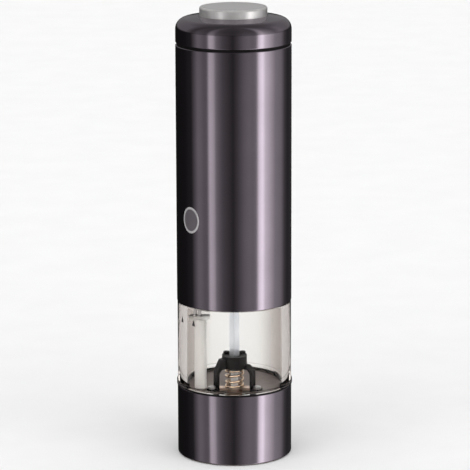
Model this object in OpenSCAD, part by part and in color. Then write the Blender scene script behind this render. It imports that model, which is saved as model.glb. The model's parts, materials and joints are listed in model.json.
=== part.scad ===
// Battery-electric pepper mill, standing upright. Origin at the centre of the foot, +Z up, front towards -Y.
// Millimetres. Bottom to top: base with the burrs, clear peppercorn container, power housing, cap, button.

/* [Body] */
// Outer diameter of the metal sleeves and the cap
body_d = 57; // [56:0.5:58]
// Wall of the metal sleeves
sleeve_wall = 0.7; // [0.5:0.05:0.7]
// Radius of the cap's rounded shoulder
shoulder_r = 5.5; // [4.5:0.1:6]
// Slope of the cap's crown, from its shoulder up to the button, in degrees
crown_slope = 9.3; // [6:0.1:10]

/* [Heights] */
// Top of the base sleeve
base_top = 35.5; // [35.3:0.1:35.6]
// Foot of the clear wall, on top of the black ring
window_low = 36.2; // [36.1:0.1:36.6]
// Top of the clear wall, where the neck starts
window_high = 78.2; // [77:0.1:78.3]
// Top of the body sleeve
sleeve_top = 206.7; // [206:0.1:206.8]
// Foot of the cap shell
cap_low = 207.75; // [207.7:0.05:208.2]
// Top of the cap shell, at the button's hole
cap_top = 220.9; // [220.8:0.05:221.2]
// Top of the button's rim
button_top = 225.2; // [224.8:0.1:226]

/* [Button] */
// Diameter of the button
button_d = 33.3; // [32:0.1:33.4]

/* [Container] */
// Outer diameter of the clear wall
container_d = 56.6; // [56:0.1:56.8]
// Diameter of the container's neck
neck_d = 51.2; // [51:0.1:51.4]
// Bore of the container, straight from floor to neck
bore_d = 47.8; // [47:0.1:48]

/* [Drive] */
// Side of the square drive shaft
shaft_side = 3.7; // [3.5:0.05:3.8]
// Gear module of both planetary stages
gear_module = 0.6; // [0.58:0.01:0.6]
// Pressure angle of the teeth
pressure_angle = 25; // [22:1:26]
// Twist that unlocks the power housing from the container
unlock_twist = 20; // [15:1:24]

/* [Lamp] */
// Diameter of the light conduit
conduit_d = 5.8; // [5:0.1:6]
// Place of the light conduit, left and right
conduit_x = -16.65; // [-17:0.05:-16]
// Place of the light conduit, front and back
conduit_y = -7.5; // [-8:0.1:-7]

/* [Hidden] */
$fn = 96;

body_r = body_d / 2;
sleeve_in = body_r - sleeve_wall;
liner_r = sleeve_in - 0.1;          // plastic mouldings that fill the sleeves
container_r = container_d / 2;
neck_r = neck_d / 2;
bore_r = bore_d / 2;
button_r = button_d / 2;
button_hole_r = button_r + 0.25;
gap = 0.05;                         // running clearance of shafts and slides

// base
foot_in = 25.5;                     // inner radius of the foot ring
spigot_r = 26.9;                    // container's foot, pushed into the base housing
flange_r = body_r + 0.35;           // container's flange, on the seat ring
flange_top = 37.7;
spigot_low = 30;
floor_r = 23;                       // funnel floor
floor_z = 35;
mouth_r = 9;
mouth_z = 30.8;
burr_r = 13;
burr_low = 14;
burr_high = 27;
cup_r = 15.2;
plate_z = 1.6;
plate_t = 1.8;
plate_screw_r = 21;
screw_angles = [30, 150, 270];
leg_angles = [90, 210, 330];
leg_tops = [48.3, 48.3, 45.4];      // the front right leg is cut lower
foot_screw_r = 13;                  // bridge screws
foot_top = 33.8;                    // seat of the bridge screws' heads
screw_shank = 0.95;

conduit_seat = 34.3;                // seat of the light conduit, on a small boss of the funnel floor
conduit_spigot_r = 2.2;
lead_places = [[-1.1, 0.3], [0.3, -0.95]];   // leads inside the conduit, from its axis
pad_places = [[-2.6, 0.3], [-0.4, -1.1]];    // contact pads and pins, from the conduit's axis

// spindle and burrs
hub_low = 43.1;
hub_high = 49.4;
hub_r = 6.3;
socket_r = 3.95;
socket_low = 43.95;
socket_mouth = 44.9;
rotor_low = 13.4;
rotor_high = 26;
blade_z = 31.6;
blade_t = 1.2;
blade_r = 9.2;
square_low = 13.95;                 // the spindle is round below this, for the knob's thread
thread_r = 1.8;
spring_top = 42.6;

// power housing
skirt_in = 26.4;
deck_low = 88.6;
deck_high = 91.6;
gear_r = 17.5;
gear_low = 91.7;
gear_high = 116;
low_stage = 96.9;                   // foot of the output planets
high_stage = 106.4;                 // foot of the input planets
planet_t = 5.6;
carrier_r = 12.5;
pin_r = 1.5;
sun_teeth = 12;
planet_teeth = 18;
ring_teeth = 48;
centre_r = (sun_teeth + planet_teeth) * gear_module / 2;
planet_angles = [0, 120, 240];
motor_low = 117.7;
motor_high = 141;
motor_r = 12.2;
holder_low = 147;
cell_r = 7.1;
cell_pitch = 7.7;                   // half the distance between neighbouring cells
cell_low = 152;
cell_len = 49.3;
nub_len = 1.2;

// cap
cap_wall = 1.3;
cap_liner_r = body_r - cap_wall - 0.1;
groove_depth = 0.6;
disc_r = 15.5;                      // satin disc on top of the button
core_flange = 219.05;               // the button's rim stands on the core's flange
core_top = 222.8;

// ---------- helpers ----------

function polar(r, a) = [r * cos(a), r * sin(a)];
function arc(c, r, a0, a1, n) = [for (i = [0:n]) c + polar(r, a0 + (a1 - a0) * i / n)];

module tube(r_out, r_in, z0, z1) {
  translate([0, 0, z0]) difference() {
    cylinder(r = r_out, h = z1 - z0);
    translate([0, 0, -1]) cylinder(r = r_in, h = z1 - z0 + 2);
  }
}

module rod(r, z0, z1) {
  translate([0, 0, z0]) cylinder(r = r, h = z1 - z0);
}

module square_rod(side, z0, z1) {
  translate([-side / 2, -side / 2, z0]) cube([side, side, z1 - z0]);
}

module at_angles(angles, r) {
  for (a = angles) rotate([0, 0, a]) translate([r, 0, 0]) children();
}

module conduit_at(places = [[0, 0]]) {
  for (p = places) translate([conduit_x + p[0], conduit_y + p[1], 0]) children();
}

// a pan-head screw with a cross recess, head up, head's underside at z = 0
module screw(head_r, head_h, shank_r, shank_len) {
  difference() {
    union() {
      cylinder(r = head_r, h = head_h);
      translate([0, 0, -shank_len]) cylinder(r = shank_r, h = shank_len);
    }
    for (a = [0, 90]) rotate([0, 0, a]) {
      translate([-head_r * 0.6, -0.2, head_h * 0.45]) cube([head_r * 1.2, 0.4, head_h]);
    }
  }
}

// round wire wound into a helix: flat-sided tube swept along its own line
module coil(r, wire_r, z0, z1, turns, sides = 6, per_turn = 16) {
  rings = floor(turns * per_turn);
  pts = [for (i = [0:rings]) let (a = 360 * turns * i / rings, z = z0 + (z1 - z0) * i / rings)
    for (k = [0:sides - 1]) let (b = 360 * k / sides)
      [(r + wire_r * cos(b)) * cos(a), (r + wire_r * cos(b)) * sin(a), z + wire_r * sin(b)]];
  sidewalls = [for (i = [0:rings - 1]) for (k = [0:sides - 1]) let (m = (k + 1) % sides)
    [i * sides + m, (i + 1) * sides + m, (i + 1) * sides + k, i * sides + k]];
  first = [for (k = [sides - 1:-1:0]) k];
  last = [for (k = [0:sides - 1]) rings * sides + k];
  polyhedron(points = pts, faces = concat(sidewalls, [first, last]), convexity = 8);
}

// ---------- gear teeth ----------

function involute(a) = tan(a) * 180 / PI - a;
function half_angle(r, pitch_r, half_t) =
  let (base_r = pitch_r * cos(pressure_angle), rr = max(r, base_r * 1.0001))
  half_t / pitch_r * 180 / PI + involute(pressure_angle) - involute(acos(base_r / rr));
function tooth(a, radii, pitch_r, half_t) = concat(
  [for (r = radii) polar(r, a - half_angle(r, pitch_r, half_t))],
  [for (i = [len(radii) - 1:-1:0]) polar(radii[i], a + half_angle(radii[i], pitch_r, half_t))]);
function gear_outline(teeth, below, above, half_t, first) =
  let (pitch_r = teeth * gear_module / 2, steps = 4,
       radii = [for (i = [0:steps]) pitch_r - below + (below + above) * i / steps])
  [for (n = [0:teeth - 1]) for (p = tooth(first + 360 * n / teeth, radii, pitch_r, half_t)) p];

addendum = 0.8 * gear_module;
dedendum = 1.05 * gear_module;
half_tooth = PI * gear_module / 4;
backlash = 0.05;

module spur(teeth, first, z0, z1, bore) {
  translate([0, 0, z0]) difference() {
    linear_extrude(height = z1 - z0)
      polygon(gear_outline(teeth, dedendum, addendum, half_tooth - backlash, first));
    translate([0, 0, -1]) cylinder(r = bore, h = z1 - z0 + 2);
  }
}

module planet(n, z0) {
  a = planet_angles[n];
  color("ivory") rotate([0, 0, a]) translate([centre_r, 0, 0])
    spur(planet_teeth, 180 / planet_teeth, z0, z0 + planet_t, pin_r + gap);
}

module planet_pins(z0) {
  at_angles(planet_angles, centre_r) rod(pin_r, z0, z0 + planet_t + 1);
}

// ---------- base ----------

module base_sleeve() {
  low = 0.4;
  color("#3a3238") rotate_extrude() polygon(concat(
    [[sleeve_in, low], [body_r - 0.4, low], [body_r, low + 0.4]],
    arc([body_r - 0.4, base_top - 0.4], 0.4, 0, 90, 4),
    [[sleeve_in, base_top]]));
}

module base_housing() {
  color("#1c1a1b") difference() {
    union() {
      rotate_extrude() polygon([
        [foot_in, 0], [liner_r, 0], [liner_r, base_top - 0.1], [spigot_r + gap, base_top - 0.1],
        [spigot_r + gap, spigot_low - 0.1], [bore_r - gap, spigot_low - 0.1],
        [bore_r - gap, floor_z], [floor_r, floor_z], [mouth_r, mouth_z],
        [mouth_r, burr_high + 0.1], [burr_r + gap, burr_high + 0.1], [burr_r + gap, 12],
        [cup_r, 12], [cup_r, 28.6], [foot_in, 28.2]]);
      at_angles(screw_angles, plate_screw_r) rod(3, plate_z + plate_t, 29);
      conduit_at() rod(conduit_d / 2, 31, conduit_seat);
    }
    at_angles(screw_angles, plate_screw_r) rod(screw_shank + 0.03, 0, 12);
    at_angles(leg_angles, foot_screw_r) rod(screw_shank + 0.03, 29.3, 36);
    conduit_at() rod(conduit_spigot_r + gap, 20, 40);
    conduit_at() rod(conduit_d / 2 + 0.1, conduit_seat, 40);
  }
}

module bottom_plate() {
  color("#242224") difference() {
    tube(foot_in - 0.1, 13.8, plate_z, plate_z + plate_t);
    at_angles(screw_angles, plate_screw_r) rod(screw_shank + 0.1, 0, 5);
    conduit_at() rod(3.3, 0, 5);
  }
}

// three screws hold the bottom plate, three more hold the bridge
module base_screws() {
  color("silver") {
    at_angles(screw_angles, plate_screw_r) translate([0, 0, plate_z]) mirror([0, 0, 1])
      screw(1.8, 1.1, screw_shank, 9);
    at_angles(leg_angles, foot_screw_r) translate([0, 0, foot_top])
      screw(1.8, 1.1, screw_shank, foot_top - 29.3);
  }
}

module seat_ring() {
  color("#141314") rotate_extrude() polygon(concat(
    [[spigot_r + 0.1, base_top + 0.02]],
    arc([flange_r - 0.3, base_top + 0.32], 0.3, -90, 0, 3),
    arc([flange_r - 0.3, window_low - 0.32], 0.3, 0, 90, 3),
    [[spigot_r + 0.1, window_low - 0.02]]));
}

module container() {
  groove_r = 24.7;
  color([0.9, 0.87, 0.84, 0.35]) rotate_extrude() polygon([
    [bore_r, spigot_low], [spigot_r, spigot_low], [spigot_r, window_low], [flange_r, window_low],
    [flange_r, flange_top - 0.4], [container_r, flange_top], [container_r, window_high - 0.5],
    [container_r - 0.5, window_high], [neck_r, window_high], [neck_r, 83.6], [groove_r, 83.6],
    [groove_r, 85.8], [neck_r, 85.8], [neck_r, 87.6], [neck_r - 0.4, 88], [bore_r, 88]]);
}

// two small arrows, printed on the clear wall, that say where it locks and unlocks
module twist_marks() {
  mark_z = 70.9;
  color("#181818") for (a = [-65, -45]) intersection() {
    tube(container_r + 0.12, container_r + 0.01, mark_z - 3, mark_z + 3);
    rotate([0, 0, a]) translate([0, -20, mark_z]) rotate([90, 0, 0])
      linear_extrude(height = 12) polygon([[-1.1, -1.5], [1.1, -1.5], [0, 1.6]]);
  }
}

module bridge() {
  leg_w = 3.8;
  foot_z = mouth_z + 0.4;
  foot_end = 15;
  boss_at = 5.05;
  color("#1b191a") difference() {
    union() {
      rod(hub_r, hub_low, hub_high);
      for (i = [0:2]) rotate([90, 0, leg_angles[i]]) translate([0, 0, -leg_w / 2])
        linear_extrude(height = leg_w) polygon([
          [4.5, hub_low], [4.5, leg_tops[i]], [8, leg_tops[i] - 0.4], [10.6, 43], [11, 42], [11, foot_top],
          [foot_end, foot_top], [foot_end, foot_z + 1.6], [10, foot_z], [9.7, foot_z], [9.7, 41.2],
          [8.2, hub_low]]);
      at_angles([35, 145], boss_at) rod(1.5, hub_high - 4, hub_high + 0.9);
    }
    rod(socket_r + gap, hub_low + 0.8, 60);
    rod(3.2, 40, 60);
    at_angles([35, 145], boss_at) rod(0.6, hub_high - 1, 60);
    at_angles(leg_angles, foot_screw_r) rod(screw_shank + 0.1, 30, 36);
  }
}

module burr_ring() {
  color("white") difference() {
    rotate_extrude() polygon([
      [12.3, burr_low], [burr_r, burr_low], [burr_r, burr_high], [mouth_r + 0.2, burr_high],
      [mouth_r + 0.2, burr_high - 2]]);
    for (a = [0:20:340]) rotate([0, 0, a + 4]) translate([9.75, 0, burr_low - 1])
      rotate([0, 14, 18]) translate([-0.7, -0.5, 0]) cube([2, 1, 12.6]);
  }
}

module lamp_tube() {
  color([0.95, 0.95, 0.93, 0.7]) conduit_at() difference() {
    rotate_extrude() polygon(concat(
      [[0, 29.6], [conduit_spigot_r, 29.6], [conduit_spigot_r, conduit_seat + 0.05]],
      arc([conduit_d / 2 - 0.6, conduit_seat + 0.65], 0.6, -90, 0, 4),
      [[conduit_d / 2, 69.9], [0, 69.9]]));
    rod(1.7, 20, 80);
  }
}

module tube_bracket() {
  half_l = 4.55;
  color([0.95, 0.95, 0.93]) difference() {
    union() {
      conduit_at() translate([-half_l, -2.2, 69.9]) cube([2 * half_l, 4.4, 1.7]);
      rotate([0, 0, atan2(conduit_y, conduit_x)]) translate([18, -1.5, 69.9]) cube([bore_r - 18.1, 3, 1.7]);
    }
    conduit_at(lead_places) rod(0.6, 60, 80);
  }
}

module lamp_wires() {
  color("firebrick") conduit_at(lead_places) rod(0.5, 9, 71.6);
}

module lamp_led() {
  color("white") conduit_at() rotate_extrude()
    polygon(concat(arc([0, 6.3], 2.5, -90, 0, 8), [[2.5, 8], [2.9, 8], [2.9, 9], [0, 9]]));
}

module lamp_lens() {
  color([0.9, 0.95, 1, 0.5]) conduit_at() rotate_extrude()
    polygon([
      [0, plate_z + 0.5], [2, plate_z + 0.1], [3.2, plate_z], [3.2, plate_z + plate_t],
      [0, plate_z + plate_t]]);
}

module contact_pads() {
  color("gold") conduit_at(pad_places) rod(1.1, 71.6, 72.05);
}

// ---------- spindle, burr rotor, knob ----------

module spindle() {
  color("silver") union() {
    square_rod(shaft_side, square_low, socket_mouth - 0.1);
    rod(thread_r, 3.2, square_low);
  }
}

// the star-shaped mouth takes the square shaft at rest and after the unlocking twist
module drive_socket() {
  color("#201d1e") difference() {
    union() {
      rod(socket_r, socket_low, hub_high - 0.4);
      rod(3.1, hub_low, socket_low);
    }
    square_rod(shaft_side + 0.04, 40, socket_mouth);
    for (a = [0:unlock_twist / 5:unlock_twist]) rotate([0, 0, 45 + a])
      square_rod(shaft_side + 0.3, socket_mouth - 0.2, 60);
  }
}

module mill_spring() {
  color("peru") coil(4.3, 0.6, blade_z + blade_t + 0.65, spring_top - 0.65, 3.6);
}

module burr_rotor() {
  color("white") difference() {
    rotate_extrude() polygon([
      [0, rotor_low], [9.6, rotor_low], [11.3, rotor_low + 1.2], [10.6, 18], [6.4, rotor_high],
      [0, rotor_high]]);
    square_rod(shaft_side + 2 * gap, 0, 40);
    for (a = [0:24:336]) rotate([0, 0, a]) translate([11.6, 0, rotor_low - 1])
      rotate([0, -20, -14]) translate([-0.8, -0.55, 0]) cube([3, 1.1, 16]);
  }
}

module feed_blade() {
  color("#b98a5e") difference() {
    union() {
      rod(3.9, rotor_high, blade_z + blade_t);
      intersection() {
        rod(blade_r, blade_z, blade_z + blade_t);
        translate([-blade_r, -2.2, blade_z]) cube([2 * blade_r, 4.4, blade_t]);
      }
    }
    square_rod(shaft_side + 2 * gap, 0, 40);
    for (x = [-1, 1]) translate([x * 5.4, 0, 0]) rod(0.6, 30, 40);
  }
}

module adjust_knob() {
  color("#202022") difference() {
    union() {
      rod(7, 3, 10.5);
      rod(4.2, 10.5, rotor_low - 0.1);
    }
    rod(thread_r + gap, 0, 20);
    for (a = [0:36:324]) rotate([0, 0, a]) translate([8, 0, 0]) rod(1.6, 0, 8.5);
  }
}

module neck_seal() {
  color("black") rotate_extrude() translate([neck_r - 0.05, 84.7]) circle(r = 0.8);
}

// ---------- power housing ----------

module body_sleeve() {
  low = window_high + 0.25;
  color("#3a3238") rotate_extrude() polygon(concat(
    [[sleeve_in, low]], arc([body_r - 0.5, low + 0.5], 0.5, -90, 0, 5),
    arc([body_r - 0.4, sleeve_top - 0.4], 0.4, 0, 90, 4), [[sleeve_in, sleeve_top]]));
}

module badge() {
  badge_z = 122.6;
  color("#c9c4c6") intersection() {
    tube(body_r + 0.2, body_r + 0.01, badge_z - 9, badge_z + 9);
    rotate([0, 0, -48]) translate([0, -20, badge_z]) rotate([90, 0, 0])
      linear_extrude(height = 12) scale([0.86, 1]) circle(r = 6.5);
  }
}

// lines the metal sleeve, and carries the battery holder on a ledge
module inner_tube() {
  wall = 1.7;
  r_in = liner_r - wall;
  color("#222021") rotate_extrude() polygon([
    [r_in, deck_high + 0.05], [liner_r, deck_high + 0.05], [liner_r, sleeve_top], [r_in, sleeve_top],
    [r_in, holder_low - 0.05], [23, holder_low - 0.05], [23, holder_low - 1.6], [r_in, holder_low - 4]]);
}

module lower_chassis() {
  color("#1c1a1b") difference() {
    rotate_extrude() polygon([
      [skirt_in, window_high + 0.6], [liner_r, window_high + 0.6], [liner_r, deck_high], [0, deck_high],
      [0, deck_low], [skirt_in, deck_low]]);
    rod(4, 80, 100);
    at_angles(screw_angles, 20.4) rod(1.23, 80, 100);
    conduit_at(pad_places) rod(0.85, 80, 100);
  }
}

module contact_pins() {
  color("gold") conduit_at(pad_places) rod(0.8, 72.2, 93);
}

module output_bush() {
  color("#a87c4f") tube(3.95, 3 + gap, deck_low, 93.4);
}

module gear_housing() {
  color("#d8d4cc") difference() {
    union() {
      rod(gear_r, gear_low, gear_high);
      at_angles(screw_angles, 20.4) rod(2.9, gear_low, gear_low + 3);
      for (a = screw_angles) rotate([0, 0, a]) translate([15, -2.9, gear_low]) cube([5.4, 5.8, 3]);
    }
    translate([0, 0, gear_low + 2.1]) linear_extrude(height = 40)
      polygon(gear_outline(ring_teeth, addendum, dedendum, half_tooth + backlash, 180 / ring_teeth));
    rod(4, 80, 100);
    at_angles(screw_angles, 20.4) rod(1.3, 80, 100);
  }
}

module gearbox_screws() {
  color("silver") {
    at_angles(screw_angles, 20.4) translate([0, 0, gear_low + 3]) screw(2.2, 1.4, 1.2, 5.5);
    at_angles([0, 180], 8) translate([0, 0, gear_high]) mirror([0, 0, 1]) screw(2.2, 1.4, 1.2, 2.8);
  }
}

module motor_plate() {
  color("#b9bcc0") difference() {
    rod(gear_r, gear_high, gear_high + 1.6);
    rod(3.3, 100, 130);
    at_angles([0, 180], 8) rod(1.3, 100, 130);
  }
}

module motor_can() {
  color("#c4c6c9") difference() {
    union() {
      rod(motor_r, motor_low, motor_high);
      rod(3, gear_high + 0.4, motor_low);
    }
    rod(motor_r - 1, motor_low + 1.5, motor_high + 1);
    rod(1.06, 100, 150);
    at_angles([0, 180], 8) rod(1.25, 100, 130);
  }
}

module motor_end_cap() {
  color("#e6e1d6") difference() {
    union() {
      rod(motor_r, motor_high, motor_high + 2.4);
      for (y = [-7, 7]) translate([-1.2, y - 0.25, motor_high + 2]) cube([2.4, 0.5, 3.2]);
    }
    rod(1.06, 130, 142.2);
  }
}

// red and black leads from the cell contacts to the motor and down to the lamp's contact pins
module power_wires() {
  color("firebrick") {
    for (y = [-7, 7]) translate([2.2, y, 0]) rod(0.6, motor_high + 2.5, holder_low + 2);
    conduit_at(pad_places) rod(0.6, 93, holder_low + 2);
  }
}

cell_places = [[1, 1], [-1, 1], [-1, -1], [1, -1]];

module battery_holder() {
  color("#2a2829") difference() {
    union() {
      rod(19.9, holder_low, 201);
      rod(25.8, holder_low, holder_low + 2);
    }
    for (p = cell_places) translate([p[0] * cell_pitch, p[1] * cell_pitch, 0])
      rod(cell_r + 0.3, holder_low + 2, 210);
    for (y = [-7, 7]) translate([2.2, y, 0]) rod(0.7, 140, 150);
    conduit_at(pad_places) rod(0.7, 140, 150);
    for (x = [-1, 1]) translate([x * cell_pitch - 2.6, -1, holder_low + 2]) cube([5.2, 2, 0.55]);
  }
}

module battery_cells() {
  color("#4d6f8c") for (i = [0:3]) {
    p = cell_places[i];
    up = i % 2 == 0;
    translate([p[0] * cell_pitch, p[1] * cell_pitch, up ? cell_low : cell_low + cell_len + nub_len])
      mirror([0, 0, up ? 0 : 1]) union() {
        cylinder(r = cell_r, h = cell_len);
        cylinder(r = 2.7, h = cell_len + nub_len);
      }
  }
}

// flat plates under the cells, with a wound spring under each flat end
module cell_contacts() {
  color("silver") {
    for (x = [-1, 1]) translate([x * cell_pitch - 2.5, -cell_pitch - 3, holder_low + 2.05])
      cube([5, 2 * cell_pitch + 6, 0.4]);
    for (i = [0, 2]) translate([cell_places[i][0] * cell_pitch, cell_places[i][1] * cell_pitch, 0])
      coil(3.6, 0.35, holder_low + 2.85, cell_low - 0.4, 2, 5, 14);
  }
}

// ---------- gear train ----------

module output_carrier() {
  color("#9c9ea2") union() {
    rod(carrier_r, 94.3, 96.4);
    planet_pins(96.3);
  }
}

module drive_shaft() {
  color("#c9ced6") union() {
    rod(3, 86, 94.3);
    rotate([0, 0, 45]) square_rod(shaft_side, 45.3, 86);
  }
}

module high_carrier() {
  color("#9c9ea2") union() {
    rod(carrier_r, 104, 105.9);
    planet_pins(105.8);
  }
}

module sun_gear() {
  color("#9c9ea2") spur(sun_teeth, 0, 97, 104, 0.8);
}

module low_planet_1() { planet(0, low_stage); }
module low_planet_2() { planet(1, low_stage); }
module low_planet_3() { planet(2, low_stage); }
module high_planet_1() { planet(0, high_stage); }
module high_planet_2() { planet(1, high_stage); }
module high_planet_3() { planet(2, high_stage); }

module motor_shaft() {
  color("silver") rod(1, 106.9, 141.8);
}

module armature() {
  color("#b87333") difference() {
    union() {
      difference() {
        rod(9.6, 121, 136);
        for (a = [60, 180, 300]) rotate([0, 0, a]) translate([4.5, -1.2, 120]) cube([8, 2.4, 20]);
      }
      rod(3.2, 136, 140.2);
    }
    rod(1, 100, 150);
  }
}

module pinion() {
  color("#b08d57") spur(sun_teeth, 0, high_stage, high_stage + 6.3, 1);
}

// ---------- cap and button ----------

// crown that falls from the button's hole to a rounded shoulder, and the wall below it
module cap_shell() {
  shoulder_end = body_r - shoulder_r * (1 - sin(crown_slope));
  crown_drop = (shoulder_end - button_hole_r) * tan(crown_slope);
  centre = [body_r - shoulder_r, cap_top - crown_drop - shoulder_r * cos(crown_slope)];
  color("#3a3238") rotate_extrude() polygon(concat(
    [[body_r - cap_wall, cap_low + 0.05], [body_r - 0.4, cap_low + 0.05], [body_r, cap_low + 0.45]],
    arc(centre, shoulder_r, 0, 90 - crown_slope, 12),
    [[button_hole_r, cap_top], [button_hole_r, cap_top - cap_wall / cos(crown_slope)]],
    arc(centre, shoulder_r - cap_wall, 90 - crown_slope, 0, 10)));
}

module cap_liner() {
  lip_r = body_r - groove_depth;
  color("#171616") rotate_extrude() polygon([
    [0, 204.2], [24, 204.2], [24, 200], [25.8, 200], [25.8, sleeve_top + 0.15], [lip_r, sleeve_top + 0.15],
    [lip_r, cap_low], [cap_liner_r, cap_low], [cap_liner_r, 213], [25.4, 213], [25.4, 206.2], [0, 206.2]]);
}

module cap_contacts() {
  color("silver") for (y = [-1, 1]) translate([-cell_pitch - 3, y * cell_pitch - 2.5, 202.55])
    cube([2 * cell_pitch + 6, 5, 1.6]);
}

module switch_board() {
  color("darkgreen") translate([-9, -7, 206.25]) cube([18, 14, 1.2]);
}

module switch() {
  color("#303030") union() {
    translate([-3, -3, 207.45]) cube([6, 6, 3.6]);
    rod(1.7, 211, 212.4);
  }
}

module button_ring() {
  edge = 1;
  color("#b9b6b8") rotate_extrude() polygon(concat(
    [[disc_r + gap, core_flange], [button_r, core_flange]],
    arc([button_r - edge, button_top - edge], edge, 0, 90, 6),
    [[disc_r + gap, button_top - 0.1]]));
}

module button_disc() {
  face = button_top - 0.08;
  color("#8d8c8e") rotate_extrude() polygon([
    [0, core_top + gap], [disc_r, core_top + gap], [disc_r, face - 0.15], [disc_r - 0.15, face], [0, face]]);
}

// moulded core: skirt and flange that keep the button in the cap, and the plunger over the switch
module button_core() {
  color("#1b1a1a") rotate_extrude() polygon([
    [0, 214.1], [3, 214.1], [3, core_top - 1.4], [14.6, core_top - 1.4], [14.6, 217.3], [18.3, 217.3],
    [18.3, core_flange - gap], [disc_r, core_flange - gap], [disc_r, core_top], [0, core_top]]);
}

module button_spring() {
  color("silver") coil(12.7, 0.5, 206.8, 220.85, 4.5);
}

base_sleeve();
base_housing();
bottom_plate();
base_screws();
seat_ring();
container();
twist_marks();
bridge();
burr_ring();
lamp_tube();
tube_bracket();
lamp_wires();
lamp_led();
lamp_lens();
contact_pads();
spindle();
drive_socket();
mill_spring();
burr_rotor();
feed_blade();
adjust_knob();
neck_seal();
body_sleeve();
inner_tube();
lower_chassis();
badge();
output_bush();
gear_housing();
gearbox_screws();
motor_plate();
motor_can();
motor_end_cap();
power_wires();
contact_pins();
battery_holder();
battery_cells();
cell_contacts();
output_carrier();
drive_shaft();
high_carrier();
sun_gear();
low_planet_1();
low_planet_2();
low_planet_3();
high_planet_1();
high_planet_2();
high_planet_3();
motor_shaft();
armature();
pinion();
cap_shell();
cap_liner();
cap_contacts();
switch_board();
switch();
button_ring();
button_disc();
button_core();
button_spring();
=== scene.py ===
import json
import math

import bmesh
import bpy
from mathutils import Euler, Matrix, Vector


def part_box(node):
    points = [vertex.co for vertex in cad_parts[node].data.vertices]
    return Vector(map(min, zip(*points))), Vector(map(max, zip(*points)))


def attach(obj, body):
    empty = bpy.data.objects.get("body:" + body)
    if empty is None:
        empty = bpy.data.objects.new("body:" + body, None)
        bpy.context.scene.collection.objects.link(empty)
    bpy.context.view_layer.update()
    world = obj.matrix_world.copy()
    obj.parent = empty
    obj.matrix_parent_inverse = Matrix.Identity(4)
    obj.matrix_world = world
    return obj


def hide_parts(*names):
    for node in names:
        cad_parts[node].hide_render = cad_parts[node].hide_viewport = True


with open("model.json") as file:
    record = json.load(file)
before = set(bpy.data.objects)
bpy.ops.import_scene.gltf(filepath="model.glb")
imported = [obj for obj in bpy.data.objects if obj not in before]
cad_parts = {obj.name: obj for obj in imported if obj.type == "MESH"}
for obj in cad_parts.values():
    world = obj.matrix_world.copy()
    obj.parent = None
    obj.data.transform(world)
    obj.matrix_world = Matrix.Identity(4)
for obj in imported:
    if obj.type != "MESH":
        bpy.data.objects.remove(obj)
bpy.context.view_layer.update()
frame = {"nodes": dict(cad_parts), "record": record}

MM = 0.001
TAU = 2 * math.pi
SEGMENTS = 256


# ------------------------------------------------------------------ sizes, from the frame

def high(node):
    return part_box(node)[1]


def low(node):
    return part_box(node)[0]


BODY_R = high("body_sleeve").x
BUTTON_R = high("button_ring").x
EDGE = 0.45 * MM
BADGE = {"turn": math.radians(-48), "z": 122.6 * MM, "half": 5.59 * MM, "tall": 6.5 * MM}


# ------------------------------------------------------------------ mesh helpers

def new_object(name, bm, smooth_angle=35):
    """A mesh object from bm, smooth except across edges sharper than smooth_angle."""
    bmesh.ops.remove_doubles(bm, verts=bm.verts, dist=1e-7)
    bmesh.ops.recalc_face_normals(bm, faces=bm.faces)
    limit = math.radians(smooth_angle)
    for face in bm.faces:
        face.smooth = True
    for edge in bm.edges:
        if len(edge.link_faces) == 2:
            edge.smooth = edge.calc_face_angle(0) < limit
    mesh = bpy.data.meshes.new(name)
    bm.to_mesh(mesh)
    bm.free()
    piece = bpy.data.objects.new(name, mesh)
    bpy.context.scene.collection.objects.link(piece)
    return piece


def arc(cx, cz, r, a0, a1, steps=10):
    """Points of an arc in the radius-height plane; angles in degrees, 0 outwards, 90 up."""
    turn = [math.radians(a0 + (a1 - a0) * i / steps) for i in range(steps + 1)]
    return [(cx + r * math.cos(a), cz + r * math.sin(a)) for a in turn]


def lathe(name, profile, segments=SEGMENTS, centre=(0, 0)):
    """Turns a (radius, height) outline round a vertical axis; off the axis it closes into a ring."""
    bm = bmesh.new()
    rows = []
    for r, z in profile:
        if r < 1e-9:
            rows.append([bm.verts.new((centre[0], centre[1], z))])
            continue
        rows.append([bm.verts.new((centre[0] + r * math.sin(TAU * i / segments),
                                   centre[1] - r * math.cos(TAU * i / segments), z))
                     for i in range(segments)])
    pairs = list(zip(rows, rows[1:]))
    if not (len(rows[0]) == 1 and len(rows[-1]) == 1):
        pairs.append((rows[-1], rows[0]))
    for a, b in pairs:
        for i in range(segments):
            j = (i + 1) % segments
            if len(a) == 1:
                bm.faces.new((a[0], b[i], b[j]))
            elif len(b) == 1:
                bm.faces.new((a[i], b[0], a[j]))
            else:
                bm.faces.new((a[i], b[i], b[j], a[j]))
    return new_object(name, bm)


def helix(name, r, wire, z0, z1, turns, flat=0.6, per_turn=48, sides=14):
    """Round wire wound into a spring whose end turns close up flat."""
    bm = bmesh.new()
    count = int(turns * per_turn)
    rings = []
    for i in range(count + 1):
        t = i / count
        n = t * turns
        rise = min(max(n - flat, 0), turns - 2 * flat) / (turns - 2 * flat)
        ease = 0.5 - 0.5 * math.cos(math.pi * rise)
        z = z0 + (z1 - z0) * (0.75 * rise + 0.25 * ease)
        a = TAU * n
        ring = []
        for k in range(sides):
            b = TAU * k / sides
            ring.append(bm.verts.new(((r + wire * math.cos(b)) * math.cos(a),
                                      (r + wire * math.cos(b)) * math.sin(a), z + wire * math.sin(b))))
        rings.append(ring)
    for a, b in zip(rings, rings[1:]):
        for k in range(sides):
            m = (k + 1) % sides
            bm.faces.new((a[k], a[m], b[m], b[k]))
    bm.faces.new(list(reversed(rings[0])))
    bm.faces.new(rings[-1])
    return new_object(name, bm)


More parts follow.
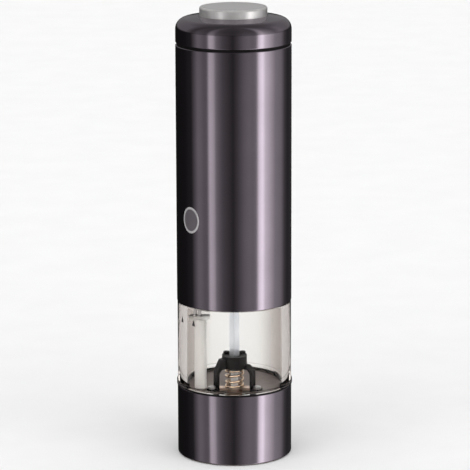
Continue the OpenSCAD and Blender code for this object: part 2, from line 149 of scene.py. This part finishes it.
def bevelled(node, name, width, segments=3):
    """A copy of a CAD node's mesh with its sharp edges rounded off."""
    bm = bmesh.new()
    bm.from_mesh(frame["nodes"][node].data)
    bmesh.ops.remove_doubles(bm, verts=bm.verts, dist=2e-6)
    bmesh.ops.dissolve_limit(bm, angle_limit=math.radians(0.5), verts=bm.verts, edges=bm.edges)
    piece = new_object(name, bm, 30)
    modifier = piece.modifiers.new("edge", "BEVEL")
    modifier.width = width
    modifier.segments = segments
    modifier.limit_method = "ANGLE"
    modifier.angle_limit = math.radians(40)
    modifier.harden_normals = True
    modifier.use_clamp_overlap = True
    apply_modifiers(piece)
    return piece


def apply_modifiers(piece):
    graph = bpy.context.evaluated_depsgraph_get()
    piece.data = bpy.data.meshes.new_from_object(piece.evaluated_get(graph))
    piece.modifiers.clear()


# ------------------------------------------------------------------ materials

class Nodes:
    """A short way to write a node material."""

    def __init__(self, name):
        self.material = bpy.data.materials.new(name)
        self.material.use_nodes = True
        self.tree = self.material.node_tree
        self.shader = self.tree.nodes["Principled BSDF"]

    def add(self, kind, **inputs):
        node = self.tree.nodes.new(kind)
        for key, value in inputs.items():
            if hasattr(node, key):
                setattr(node, key, value)
            else:
                node.inputs[key.replace("_", " ")].default_value = value
        return node

    def link(self, a, b):
        self.tree.links.new(a, b)

    def set(self, **values):
        for key, value in values.items():
            self.shader.inputs[key.replace("_", " ")].default_value = value

    def place(self, scale=(1, 1, 1)):
        """Object coordinates in metres of the frame, stretched by scale."""
        coords = self.add("ShaderNodeTexCoord")
        mapping = self.add("ShaderNodeMapping")
        mapping.inputs["Scale"].default_value = scale
        self.link(coords.outputs["Object"], mapping.inputs["Vector"])
        return mapping.outputs["Vector"]

    def noise(self, vector, scale, detail=4, roughness=0.55):
        node = self.add("ShaderNodeTexNoise")
        node.inputs["Scale"].default_value = scale
        node.inputs["Detail"].default_value = detail
        node.inputs["Roughness"].default_value = roughness
        self.link(vector, node.inputs["Vector"])
        return node.outputs["Fac"]

    def ramp(self, value, stops):
        node = self.add("ShaderNodeValToRGB")
        ramp = node.color_ramp
        while len(ramp.elements) < len(stops):
            ramp.elements.new(0.5)
        for element, (at, colour) in zip(ramp.elements, stops):
            element.position = at
            element.color = colour if len(colour) == 4 else (*colour, 1)
        self.link(value, node.inputs["Fac"])
        return node.outputs["Color"]

    def span(self, value, lo, hi):
        """Maps 0..1 to lo..hi."""
        node = self.add("ShaderNodeMapRange")
        node.inputs["To Min"].default_value = lo
        node.inputs["To Max"].default_value = hi
        self.link(value, node.inputs["Value"])
        return node.outputs["Result"]

    def bump(self, height, strength, distance):
        node = self.add("ShaderNodeBump")
        node.inputs["Strength"].default_value = strength
        node.inputs["Distance"].default_value = distance
        self.link(height, node.inputs["Height"])
        self.link(node.outputs["Normal"], self.shader.inputs["Normal"])

    def colour(self, output):
        self.link(output, self.shader.inputs["Base Color"])

    def roughness(self, output):
        self.link(output, self.shader.inputs["Roughness"])


def mixed(colour, amount):
    return tuple(min(1, c * amount) for c in colour)


def dark_metal():
    """Plum gunmetal lacquer over a fine vertical brushing."""
    m = Nodes("dark_metal")
    m.set(Metallic=1.0)
    base = (0.345, 0.300, 0.345)
    brush = m.noise(m.place((1, 1, 0.02)), 2600, 3)
    cloud = m.noise(m.place(), 60, 3)
    m.colour(m.ramp(cloud, [(0.3, mixed(base, 0.96)), (0.7, mixed(base, 1.04))]))
    m.roughness(m.span(brush, 0.09, 0.13))
    m.bump(brush, 0.10, 0.00002)
    return m.material


def plastic(name, colour, rough=0.45, grain=900, depth=0.00003, gloss=0.5):
    """Moulded plastic with a fine spark-eroded grain and a little colour drift."""
    m = Nodes(name)
    m.set(Specular_IOR_Level=gloss)
    fine = m.noise(m.place(), grain, 5)
    drift = m.noise(m.place(), 90, 2)
    m.colour(m.ramp(drift, [(0.3, mixed(colour, 0.88)), (0.7, mixed(colour, 1.12))]))
    m.roughness(m.span(fine, rough - 0.07, rough + 0.07))
    m.bump(fine, 0.25, depth)
    return m.material


def metal(name, colour, rough=0.28, along=(1, 1, 0.03), scale=2200, spread=0.1, metallic=1.0):
    """Bare metal with drawing or turning marks along one direction."""
    m = Nodes(name)
    m.set(Metallic=metallic)
    marks = m.noise(m.place(along), scale, 3)
    drift = m.noise(m.place(), 140, 3)
    m.colour(m.ramp(drift, [(0.3, mixed(colour, 0.9)), (0.75, mixed(colour, 1.08))]))
    m.roughness(m.span(marks, rough - spread / 2, rough + spread / 2))
    m.bump(marks, 0.15, 0.00002)
    return m.material


def clear_acrylic():
    """Clear moulded acrylic with painted shade: its tint greys where it is seen edge-on, and below the top
    of its foot flange it is painted near-black where seen edge-on.
    """
    m = Nodes("clear_acrylic")
    flange_top, edge_on = 37.8 * MM, 0.45
    m.set(IOR=1.14, Transmission_Weight=1.0)
    facing = m.add("ShaderNodeLayerWeight", Blend=0.5)
    # painted shade: the tint turns grey and warm towards edge-on view, in place of the darker surroundings
    # that the edges refract
    clear = m.ramp(facing.outputs["Facing"], [(0.0, (0.97, 0.965, 0.955)), (0.14, (0.93, 0.92, 0.90)),
                                              (0.29, (0.74, 0.71, 0.69)), (0.5, (0.62, 0.58, 0.55)),
                                              (0.8, (0.55, 0.50, 0.47))])
    coords = m.place()
    split = m.add("ShaderNodeSeparateXYZ")
    m.link(coords, split.inputs["Vector"])
    above = m.add("ShaderNodeMath", operation="GREATER_THAN")
    above.inputs[1].default_value = flange_top
    m.link(split.outputs["Z"], above.inputs[0])
    frontal = m.add("ShaderNodeMath", operation="LESS_THAN")
    frontal.inputs[1].default_value = edge_on
    m.link(facing.outputs["Facing"], frontal.inputs[0])
    shown = m.add("ShaderNodeMath", operation="MAXIMUM")
    m.link(above.outputs[0], shown.inputs[0])
    m.link(frontal.outputs[0], shown.inputs[1])
    # painted shade: near-black colour below the flange top where the acrylic is seen edge-on
    foot = m.add("ShaderNodeMix", data_type="RGBA")
    foot.inputs["A"].default_value = (0.012, 0.010, 0.010, 1)
    m.link(shown.outputs[0], foot.inputs["Factor"])
    m.link(clear, foot.inputs["B"])
    m.colour(foot.outputs["Result"])
    wave = m.noise(m.place((1, 1, 0.3)), 45, 2)
    dust = m.noise(coords, 700, 4)
    m.roughness(m.ramp(dust, [(0.45, (0.01,) * 3), (0.8, (0.05,) * 3)]))
    m.bump(wave, 0.06, 0.0002)
    return m.material


def light_pipe():
    m = Nodes("white_light_pipe")
    m.set(Subsurface_Weight=0.6, Subsurface_Radius=(0.004, 0.004, 0.0042), Subsurface_Scale=1.0, IOR=1.49)
    fine = m.noise(m.place((1, 1, 0.2)), 300, 3)
    m.colour(m.ramp(fine, [(0.3, (0.90, 0.91, 0.90)), (0.7, (0.96, 0.97, 0.97))]))
    m.roughness(m.span(fine, 0.25, 0.4))
    m.bump(fine, 0.15, 0.00004)
    return m.material


def satin_top():
    """Turned satin metal: fine rings round the axis."""
    m = Nodes("button_satin")
    m.set(Metallic=0.35)
    rings = m.add("ShaderNodeTexWave", wave_type="RINGS", rings_direction="Z")
    rings.inputs["Scale"].default_value = 900
    rings.inputs["Distortion"].default_value = 1.5
    rings.inputs["Detail"].default_value = 2
    m.link(m.place(), rings.inputs["Vector"])
    m.colour(m.ramp(rings.outputs["Fac"], [(0.2, (0.44, 0.43, 0.43)), (0.8, (0.50, 0.49, 0.49))]))
    m.roughness(m.span(rings.outputs["Fac"], 0.38, 0.5))
    m.bump(rings.outputs["Fac"], 0.1, 0.00001)
    return m.material


def ceramic():
    m = Nodes("ceramic")
    speck = m.noise(m.place(), 1500, 6, 0.7)
    m.colour(m.ramp(speck, [(0.35, (0.72, 0.70, 0.66)), (0.65, (0.83, 0.82, 0.78))]))
    m.roughness(m.span(speck, 0.55, 0.75))
    m.bump(speck, 0.3, 0.00004)
    return m.material


def cell_jacket():
    """Printed battery jacket: two plain colour bands and a silver rim, by height in the frame."""
    m = Nodes("cell_jacket")
    z0, z1 = low("battery_cells").z, high("battery_cells").z
    coords = m.add("ShaderNodeTexCoord")
    split = m.add("ShaderNodeSeparateXYZ")
    m.link(coords.outputs["Object"], split.inputs["Vector"])
    along = m.add("ShaderNodeMapRange")
    along.inputs["From Min"].default_value = z0
    along.inputs["From Max"].default_value = z1
    m.link(split.outputs["Z"], along.inputs["Value"])
    m.colour(m.ramp(along.outputs["Result"], [(0.05, (0.5, 0.5, 0.5)), (0.08, (0.05, 0.12, 0.22)),
                                              (0.62, (0.06, 0.14, 0.25)), (0.66, (0.45, 0.33, 0.16)),
                                              (0.93, (0.5, 0.37, 0.18)), (0.95, (0.55, 0.55, 0.55))]))
    m.roughness(m.span(m.noise(m.place(), 400, 3), 0.25, 0.4))
    return m.material


def badge_print():
    """Satin plate whose rim is a lighter colour than its field."""
    m = Nodes("badge_print")
    m.set(Metallic=0.6)
    turn = BADGE["turn"]
    across = m.add("ShaderNodeVectorMath", operation="DOT_PRODUCT")
    coords = m.place()
    m.link(coords, across.inputs[0])
    across.inputs[1].default_value = (math.cos(turn) / BADGE["half"], math.sin(turn) / BADGE["half"], 0)
    up = m.add("ShaderNodeVectorMath", operation="DOT_PRODUCT")
    m.link(coords, up.inputs[0])
    up.inputs[1].default_value = (0, 0, 1 / BADGE["tall"])
    centred = m.add("ShaderNodeMath", operation="SUBTRACT")
    m.link(up.outputs["Value"], centred.inputs[0])
    centred.inputs[1].default_value = BADGE["z"] / BADGE["tall"]
    pair = m.add("ShaderNodeCombineXYZ")
    m.link(across.outputs["Value"], pair.inputs["X"])
    m.link(centred.outputs[0], pair.inputs["Y"])
    size = m.add("ShaderNodeVectorMath", operation="LENGTH")
    m.link(pair.outputs["Vector"], size.inputs[0])
    m.colour(m.ramp(size.outputs["Value"], [(0.80, (0.20, 0.18, 0.20)), (0.86, (0.72, 0.70, 0.71))]))
    fine = m.noise(m.place(), 2500, 3)
    m.roughness(m.span(fine, 0.3, 0.42))
    m.bump(fine, 0.1, 0.00001)
    return m.material


MATERIALS = {
    "dark_metal": dark_metal(),
    "black_plastic": plastic("black_plastic", (0.007, 0.006, 0.006), 0.42, gloss=0.15),
    "smoke_plastic": plastic("smoke_plastic", (0.20, 0.168, 0.158), 0.3, gloss=0.5),
    "clear_acrylic": clear_acrylic(),
    "white_light_pipe": light_pipe(),
    "print_black": plastic("print_black", (0.02, 0.02, 0.02), 0.6),
    "badge_print": badge_print(),
    "ceramic": ceramic(),
    "shaft_steel": metal("shaft_steel", (0.86, 0.89, 0.95), 0.3, metallic=0.7),
    "screw_steel": metal("screw_steel", (0.62, 0.62, 0.63), 0.3, (1, 1, 1)),
    "spring_steel": metal("spring_steel", (0.60, 0.46, 0.34), 0.22, (1, 1, 1)),
    "blade_steel": metal("blade_steel", (0.66, 0.50, 0.40), 0.3, (1, 0.05, 1)),
    "brass": metal("brass", (0.78, 0.60, 0.30), 0.25),
    "gear_plastic": plastic("gear_plastic", (0.72, 0.69, 0.60), 0.4),
    "copper": metal("copper", (0.72, 0.36, 0.20), 0.35, (1, 1, 40), 160),
    "wire_red": plastic("wire_red", (0.42, 0.05, 0.04), 0.5),
    "cell_jacket": cell_jacket(),
    "board_green": plastic("board_green", (0.03, 0.15, 0.06), 0.35),
    "seal_rubber": plastic("seal_rubber", (0.015, 0.015, 0.015), 0.7),
    "button_rim": metal("button_rim", (0.90, 0.885, 0.87), 0.30, (1, 1, 1), 1500, 0.06, 0.75),
    "button_satin": satin_top(),
}
NODE_SLOT = {s["node"]: s["material_slot"] for s in frame["record"]["subparts"]}


def dress(piece, slot):
    piece.data.materials.clear()
    piece.data.materials.append(MATERIALS[slot])


for node, obj in frame["nodes"].items():
    for i in range(len(obj.data.materials)):
        obj.data.materials[i] = MATERIALS[NODE_SLOT[node]]


def stand_for(piece, node, body):
    """piece is the shown shape of one CAD node, on its body and in its slot."""
    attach(piece, body)
    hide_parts(node)
    dress(piece, NODE_SLOT[node])


# ------------------------------------------------------------------ turned shells

def sleeve(name, node, body):
    """Thin straight metal tube with rounded outer edges."""
    z0, z1 = low(node).z, high(node).z
    wall = 0.7 * MM
    profile = [(BODY_R - wall, z0)]
    profile += arc(BODY_R - EDGE, z0 + EDGE, EDGE, -90, 0)
    profile += arc(BODY_R - EDGE, z1 - EDGE, EDGE, 0, 90)
    profile += [(BODY_R - wall, z1)]
    stand_for(lathe(name, profile), node, body)


sleeve("base_shell", "base_sleeve", "base")
sleeve("body_shell", "body_sleeve", "power_unit")


def cap():
    """Thin crowned shell: a round shoulder, then a shallow rise to the button's hole."""
    z0, z1 = low("cap_shell").z, high("cap_shell").z
    shoulder, wall, slope = 5.5 * MM, 1.3 * MM, 9.3
    tilt = math.radians(slope)
    hole = BUTTON_R + 0.25 * MM
    centre_r = BODY_R - shoulder
    crown = centre_r + shoulder * math.sin(tilt) - hole
    centre_z = z1 - crown * math.tan(tilt) - shoulder * math.cos(tilt)
    lip = 0.15 * MM
    profile = [(BODY_R - wall, z0)]
    profile += arc(BODY_R - EDGE, z0 + EDGE, EDGE, -90, 0)
    profile += arc(centre_r, centre_z, shoulder, 0, 90 - slope, 28)
    profile += [(hole + lip, z1 - lip * math.tan(tilt)), (hole, z1 - lip)]
    profile += [(hole, z1 - wall / math.cos(tilt))]
    profile += arc(centre_r, centre_z, shoulder - wall, 90 - slope, 0, 12)
    stand_for(lathe("cap_shell_skin", profile), "cap_shell", "cap")


cap()


def seat_ring():
    z0, z1 = low("seat_ring").z, high("seat_ring").z
    r_out, r_in, edge = high("seat_ring").x, 27.0 * MM, 0.3 * MM
    profile = [(r_in, z0)] + arc(r_out - edge, z0 + edge, edge, -90, 0)
    profile += arc(r_out - edge, z1 - edge, edge, 0, 90) + [(r_in, z1)]
    stand_for(lathe("seat_ring_skin", profile), "seat_ring", "base")


seat_ring()


def badge():
    """Plain oval plate, its rim raised, bent round the body's wall."""
    low_r = BODY_R + 0.01 * MM
    profile = [(1.0, 0.0), (1.0, 0.14), (0.985, 0.18), (0.94, 0.2), (0.90, 0.2), (0.87, 0.17), (0.85, 0.12),
               (0.6, 0.13), (0.3, 0.14)]
    bm = bmesh.new()
    rings = []
    for share, height in profile:
        ring = []
        for i in range(72):
            a = TAU * i / 72
            across = BADGE["half"] * share * math.cos(a) / BODY_R + BADGE["turn"]
            r = low_r + height * MM
            ring.append(bm.verts.new((r * math.sin(across), -r * math.cos(across),
                                      BADGE["z"] + BADGE["tall"] * share * math.sin(a))))
        rings.append(ring)
    for a, b in zip(rings, rings[1:]):
        for i in range(72):
            j = (i + 1) % 72
            bm.faces.new((a[i], a[j], b[j], b[i]))
    bm.faces.new(rings[-1])
    stand_for(new_object("badge_plate", bm, 50), "badge", "power_unit")


badge()


def container():
    """Thick clear tube with a straight bore, a foot flange, a spigot below and a grooved neck above."""
    z0, z1 = low("container").z, high("container").z
    foot, flange_top, top = 36.2 * MM, 37.7 * MM, 78.2 * MM
    flange, wall, bore = high("container").x, 28.3 * MM, 23.9 * MM
    spigot, neck, groove = 26.9 * MM, 25.6 * MM, 24.7 * MM
    profile = [(bore, z0), (spigot, z0), (spigot, foot)]
    profile += arc(flange - 0.3 * MM, foot + 0.3 * MM, 0.3 * MM, -90, 0, 5)
    profile += arc(flange - 0.3 * MM, flange_top - 0.3 * MM, 0.3 * MM, 0, 90, 5)
    profile += [(wall, flange_top)]
    profile += arc(wall - EDGE, top - EDGE, EDGE, 0, 90, 5)
    profile += [(neck, top), (neck, 83.6 * MM), (groove, 83.6 * MM), (groove, 85.8 * MM), (neck, 85.8 * MM)]
    profile += arc(neck - EDGE, z1 - EDGE, EDGE, 0, 90, 5)
    profile += arc(bore + EDGE, z1 - EDGE, EDGE, 90, 180, 5)
    stand_for(lathe("container_wall", profile), "container", "base")


container()


def button():
    z0, z1 = low("button_ring").z, high("button_ring").z
    inner, edge = 15.55 * MM, 1.0 * MM
    rim = [(inner, z0), (BUTTON_R - 0.15 * MM, z0), (BUTTON_R, z0 + 0.15 * MM)]
    rim += arc(BUTTON_R - edge, z1 - edge, edge, 0, 90, 14)
    rim += [(inner + 0.02 * MM, z1 - 0.03 * MM), (inner, z1 - 0.15 * MM)]
    stand_for(lathe("button_rim", rim), "button_ring", "button")
    d0, d1 = low("button_disc").z, high("button_disc").z
    r = high("button_disc").x
    disc = [(0, d0), (r, d0)] + arc(r - 0.15 * MM, d1 - 0.15 * MM, 0.15 * MM, 0, 90, 5)
    disc += [(r * 0.6, d1 - 0.03 * MM), (0, d1 - 0.05 * MM)]
    stand_for(lathe("button_top", disc), "button_disc", "button")


button()


# ------------------------------------------------------------------ inside the container

def drive_shaft():
    """Square bar with rounded long edges, turned round at its top end."""
    z0, z1 = low("drive_shaft").z, high("drive_shaft").z
    half = 3.7 * MM / 2
    round_off = 0.3 * MM
    turned, r = z1 - 8.3 * MM, 3.0 * MM
    bm = bmesh.new()

    def ring(z, scale=1.0, circle=None):
        verts = []
        for corner in range(4):
            for i in range(7):
                a = math.radians(corner * 90 + 90 * i / 6)
                c = math.radians(corner * 90 + 45)
                x = (half - round_off) * math.sqrt(2) * math.cos(c) + round_off * math.cos(a)
                y = (half - round_off) * math.sqrt(2) * math.sin(c) + round_off * math.sin(a)
                if circle:
                    b = math.atan2(y, x)
                    x, y = circle * math.cos(b), circle * math.sin(b)
                v = Vector((x * scale, y * scale, z))
                v.rotate(Euler((0, 0, math.radians(45))))
                verts.append(bm.verts.new(v))
        return verts

    rings = [ring(z0, 0.82), ring(z0 + 0.7 * MM), ring(turned), ring(turned, circle=r), ring(z1, circle=r)]
    for a, b in zip(rings, rings[1:]):
        for i in range(len(a)):
            j = (i + 1) % len(a)
            bm.faces.new((a[i], a[j], b[j], b[i]))
    bm.faces.new(list(reversed(rings[0])))
    bm.faces.new(rings[-1])
    stand_for(new_object("square_shaft", bm, 40), "drive_shaft", "output_drive")


drive_shaft()


def springs():
    lo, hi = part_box("mill_spring")
    wire = 0.6 * MM
    coil = helix("burr_spring", hi.x - wire, wire, lo.z + wire, hi.z - wire, 4.4)
    stand_for(coil, "mill_spring", "spindle")
    lo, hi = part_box("button_spring")
    wire = 0.5 * MM
    coil = helix("return_spring", hi.x - wire, wire, lo.z + wire, hi.z - wire, 5.5)
    stand_for(coil, "button_spring", "button")


springs()


def conduit():
    lo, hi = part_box("lamp_tube")
    x, y = (lo.x + hi.x) / 2, (lo.y + hi.y) / 2
    r = (hi.x - lo.x) / 2
    seat, edge, bore, spigot = 34.35 * MM, 0.9 * MM, 1.7 * MM, 2.2 * MM
    profile = [(bore, lo.z), (spigot, lo.z), (spigot, seat)]
    profile += arc(r - edge, seat + edge, edge, -90, 0, 8)
    profile += arc(r - 0.3 * MM, hi.z - 0.3 * MM, 0.3 * MM, 0, 90, 4)
    profile += [(bore, hi.z)]
    tube = lathe("light_conduit", profile, 96, (x, y))
    stand_for(tube, "lamp_tube", "base")
    stand_for(bevelled("tube_bracket", "conduit_bracket", 0.35 * MM), "tube_bracket", "base")


conduit()
stand_for(bevelled("bridge", "grinder_bridge", 0.3 * MM), "bridge", "base")
stand_for(bevelled("drive_socket", "socket", 0.2 * MM, 2), "drive_socket", "spindle")
stand_for(bevelled("feed_blade", "feed_wings", 0.2 * MM, 2), "feed_blade", "rotor")


# ------------------------------------------------------------------ stage, light, camera

def floor():
    bm = bmesh.new()
    side = 6.0
    corners = [bm.verts.new((x * side, y * side, -0.0002)) for x, y in ((-1, -1), (1, -1), (1, 1), (-1, 1))]
    bm.faces.new(corners)
    obj = new_object("floor", bm)
    m = Nodes("floor_white")
    m.set(Specular_IOR_Level=0.1)
    grain = m.noise(m.place(), 30, 2)
    m.colour(m.ramp(grain, [(0.3, (0.83, 0.83, 0.83)), (0.7, (0.85, 0.85, 0.85))]))
    m.roughness(m.span(grain, 0.75, 0.85))
    obj.data.materials.append(m.material)
    obj.visible_glossy = False


def studio():
    """Soft studio surroundings: walls whose brightness follows the compass bearing round the mill,
    and a dim even sky over them. Bearing 0 is straight towards the camera, positive to the right.
    Seen directly or through the clear container, the surroundings are plain and pale."""
    world = bpy.data.worlds.new("studio")
    bpy.context.scene.world = world
    world.use_nodes = True
    tree = world.node_tree
    tree.nodes.clear()

    def add(kind, **values):
        node = tree.nodes.new(kind)
        for key, value in values.items():
            setattr(node, key, value)
        return node

    def math_node(operation, a, b=None):
        node = add("ShaderNodeMath", operation=operation)
        for socket, value in zip(node.inputs, (a, b)):
            if value is None:
                continue
            if isinstance(value, (int, float)):
                socket.default_value = value
            else:
                tree.links.new(value, socket)
        return node.outputs[0]

    coords = add("ShaderNodeTexCoord")
    split = add("ShaderNodeSeparateXYZ")
    tree.links.new(coords.outputs["Generated"], split.inputs["Vector"])
    back = math_node("MULTIPLY", split.outputs["Y"], -1)
    bearing = math_node("ARCTAN2", split.outputs["X"], back)
    turn = math_node("ADD", math_node("DIVIDE", bearing, TAU), 0.5)
    around = add("ShaderNodeValToRGB")
    tree.links.new(turn, around.inputs["Fac"])
    around.color_ramp.interpolation = "LINEAR"
    while len(around.color_ramp.elements) < len(STUDIO):
        around.color_ramp.elements.new(0.5)
    for element, (angle, value) in zip(around.color_ramp.elements, STUDIO):
        element.position = (angle + 180) / 360
        element.color = (value, value * 0.985, value, 1)
    height = math_node("ADD", math_node("MULTIPLY", split.outputs["Z"], 0.5), 0.5)

    def by_height(levels):
        node = add("ShaderNodeValToRGB")
        tree.links.new(height, node.inputs["Fac"])
        while len(node.color_ramp.elements) < len(levels):
            node.color_ramp.elements.new(0.5)
        for element, (z, value) in zip(node.color_ramp.elements, levels):
            element.position = z / 2 + 0.5
            element.color = (value, value, value, 1)
        return node.outputs["Color"]

    def mix(kind, a, b):
        node = add("ShaderNodeMix", data_type="RGBA", blend_type=kind)
        node.inputs["Factor"].default_value = 1
        tree.links.new(a, node.inputs["A"])
        tree.links.new(b, node.inputs["B"])
        return node.outputs["Result"]

    fade = by_height([(-1, 1), (-0.08, 1), (-0.02, 0.5), (0.2, 0.36), (0.55, 0.24), (0.83, 0.12), (1, 0.04)])
    walls = mix("MULTIPLY", around.outputs["Color"], fade)
    front = by_height([(-1, 0), (-0.02, 0), (0.1, 0.025), (0.6, 0.025), (1, 0.04)])
    rear = by_height([(-1, 0), (-0.02, 0), (0.1, 0.10), (0.6, 0.11), (0.8, 0.07), (0.95, 0.05), (1, 0.04)])
    side = add("ShaderNodeMapRange")
    side.inputs["From Min"].default_value = 0.0
    side.inputs["From Max"].default_value = 0.3
    tree.links.new(split.outputs["Y"], side.inputs["Value"])
    sky = add("ShaderNodeMix", data_type="RGBA")
    tree.links.new(side.outputs["Result"], sky.inputs["Factor"])
    tree.links.new(front, sky.inputs["A"])
    tree.links.new(rear, sky.inputs["B"])
    sky = sky.outputs["Result"]
    background = add("ShaderNodeBackground")
    background.inputs["Strength"].default_value = 2.2
    plain = add("ShaderNodeBackground")
    plain.inputs["Color"].default_value = (0.93, 0.93, 0.93, 1)
    path = add("ShaderNodeLightPath")
    direct = math_node("MAXIMUM", path.outputs["Is Camera Ray"], path.outputs["Is Transmission Ray"])
    shown = add("ShaderNodeMixShader")
    out = add("ShaderNodeOutputWorld")
    tree.links.new(mix("ADD", walls, sky), background.inputs["Color"])
    tree.links.new(direct, shown.inputs[0])
    tree.links.new(background.outputs["Background"], shown.inputs[1])
    tree.links.new(plain.outputs["Background"], shown.inputs[2])
    tree.links.new(shown.outputs["Shader"], out.inputs["Surface"])


# bearing in degrees and brightness
STUDIO = [
    (-180, 0.004), (-139, 0.006), (-112, 0.008), (-102, 0.0135), (-93, 0.015), (-84, 0.076),
    (-76, 0.146), (-69, 0.137), (-62, 0.107), (-54, 0.1), (-49, 0.48), (-41, 0.41), (-35, 0.166),
    (-29, 0.116), (-22, 0.068), (-16, 0.053), (-10, 0.04), (-1, 0.021), (8, 0.052), (14, 0.082),
    (20, 0.117), (30, 0.148), (39, 0.142), (46, 0.176), (52, 0.82), (59, 1.06), (66, 0.63),
    (74, 0.49), (90, 0.225), (109, 0.156), (120, 0.05), (133, 0.02),
]


def lights():
    """A broad soft light from above that whitens the floor, and two low front fills for the inside."""
    for name, energy, spread, tilt, turn in (("overhead", 2.4, 110, 12, 0), ("fill_left", 1.2, 60, 72, -40),
                                             ("fill_right", 1.2, 60, 72, 40)):
        data = bpy.data.lights.new(name, "SUN")
        data.energy = energy
        data.angle = math.radians(spread)
        light = bpy.data.objects.new(name, data)
        light.rotation_euler = Euler((math.radians(tilt), 0, math.radians(turn)))
        light.visible_glossy = False
        bpy.context.scene.collection.objects.link(light)


def camera():
    data = bpy.data.cameras.new("camera")
    data.sensor_width = 36
    data.lens = 212.08
    obj = bpy.data.objects.new("camera", data)
    look_down, roll = 12.475, -0.179
    pitch = Euler((math.radians(90 - look_down), 0, 0)).to_matrix()
    turn = pitch @ Euler((0, 0, math.radians(roll))).to_matrix()
    obj.matrix_world = Matrix.Translation((0.00047, -1.3424, 0.4079)) @ turn.to_4x4()
    bpy.context.scene.collection.objects.link(obj)
    bpy.context.scene.camera = obj


floor()
studio()
lights()
camera()
bpy.context.scene.view_settings.view_transform = "Standard"
